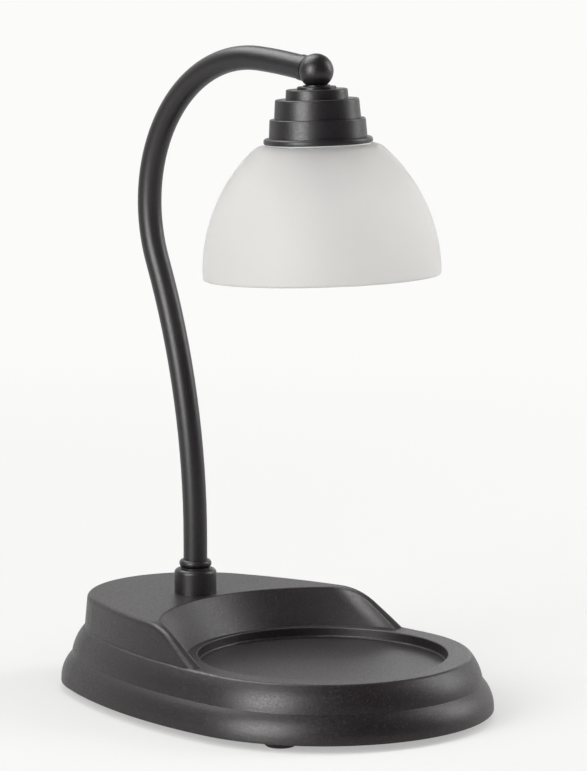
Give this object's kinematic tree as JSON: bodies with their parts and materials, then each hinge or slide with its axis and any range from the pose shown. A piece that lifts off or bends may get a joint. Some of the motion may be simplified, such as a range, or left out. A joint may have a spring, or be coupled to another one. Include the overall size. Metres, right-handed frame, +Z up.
{
  "type": "candle warmer lamp",
  "caption": "Table lamp that warms a candle: an oval weighted base with a round candle recess, a tall bent neck and a frosted glass dome shade over it.",
  "frame": {"origin": "on the table under the middle of the base's outline", "axes": "+Z up, the candle and the shade towards -Y, the neck's foot towards +Y, mirror plane at X = 0"},
  "size_m": [0.1686, 0.244, 0.3257],
  "materials": {
    "powder_coat": "satin powder coat, very dark bronze, fine grain",
    "cover_coat": "matt black enamel on sheet steel",
    "ring_coat": "satin powder coat, very dark bronze",
    "plated_steel": "zinc plated",
    "iron": "rough cast, blackened",
    "brass": "turned",
    "pin_nickel": "nickel plated",
    "sleeve_aluminium": "turned",
    "rubber": "matt black",
    "silicone": "matt translucent white",
    "fibre": "pressed fibre",
    "bearing_plastic": "matt black bearing plastic",
    "block_plastic": "white moulded plastic",
    "lead_sheath": "black flexible sheath",
    "core": "pale heat-proof sleeving",
    "earth_core": "green and yellow insulation",
    "ceramic": "white glazed ceramic",
    "frosted_glass": "white frosted inside and out",
    "reflector": "silvered glass",
    "clear_glass": "clear"
  },
  "bodies": {
    "base": {"base_shell": "powder_coat", "bottom_cover": "cover_coat", "cover_screws": "plated_steel", "feet": "rubber", "ballast_plate": "iron", "ballast_screws": "plated_steel", "cord_grommet": "rubber", "terminal_block": "block_plastic", "terminal_sleeves": "brass", "terminal_screws": "plated_steel", "block_screw": "plated_steel", "earth_tag": "brass", "earth_screw": "plated_steel", "earth_lead": "earth_core", "base_lead": "lead_sheath", "base_cores": "core", "neck_collar": "powder_coat", "swivel_bush": "bearing_plastic", "friction_washer": "fibre"},
    "arm": {"swivel_stem": "plated_steel", "stop_plate": "plated_steel", "spring_washer": "plated_steel", "swivel_nut": "plated_steel", "lock_nut": "plated_steel", "neck_ring": "powder_coat", "neck_tube": "powder_coat", "neck_lead": "lead_sheath", "tube_ferrule": "powder_coat", "ball_elbow": "powder_coat", "elbow_spacer": "powder_coat", "head_washer": "powder_coat", "head_nipple": "brass", "head_lock_washer": "plated_steel", "head_nut": "brass", "shade_cap": "powder_coat", "holder_bracket": "plated_steel", "holder_screws": "plated_steel", "holder_skirt": "sleeve_aluminium", "lampholder": "ceramic", "holder_contacts": "brass", "head_cores": "core", "upper_gasket": "silicone"},
    "shade": {"glass_shade": "frosted_glass", "lower_gasket": "silicone"},
    "ring": {"shade_ring": "ring_coat"},
    "bulb": {"bulb_base": "ceramic", "bulb_pins": "pin_nickel", "bulb_reflector": "reflector", "bulb_lens": "clear_glass", "bulb_capsule": "clear_glass"}
  },
  "joints": [
    {"name": "arm_swing", "type": "hinge", "parent": "base", "child": "arm", "pos_m": [0, 0.054, 0.0612], "axis": [0, 0, 1], "range_deg": [-60, 60]},
    {"name": "shade_lower", "type": "slide", "parent": "arm", "child": "shade", "axis": [0, -0.0429, -0.9991], "range_m": [0, 0.006]},
    {"name": "ring_turn", "type": "hinge", "parent": "shade", "child": "ring", "pos_m": [0, -0.03494, 0.27373], "axis": [0, -0.0429, -0.9991], "range_deg": [0, 1080]},
    {"name": "bulb_twist", "type": "hinge", "parent": "arm", "child": "bulb", "pos_m": [0, -0.03458, 0.28208], "axis": [0, -0.0429, -0.9991], "range_deg": [0, 30]}
  ],
  "couplings": [
    {"joint": "ring_turn", "follows": "shade_lower", "rad_per_m": 3141.6}
  ]
}
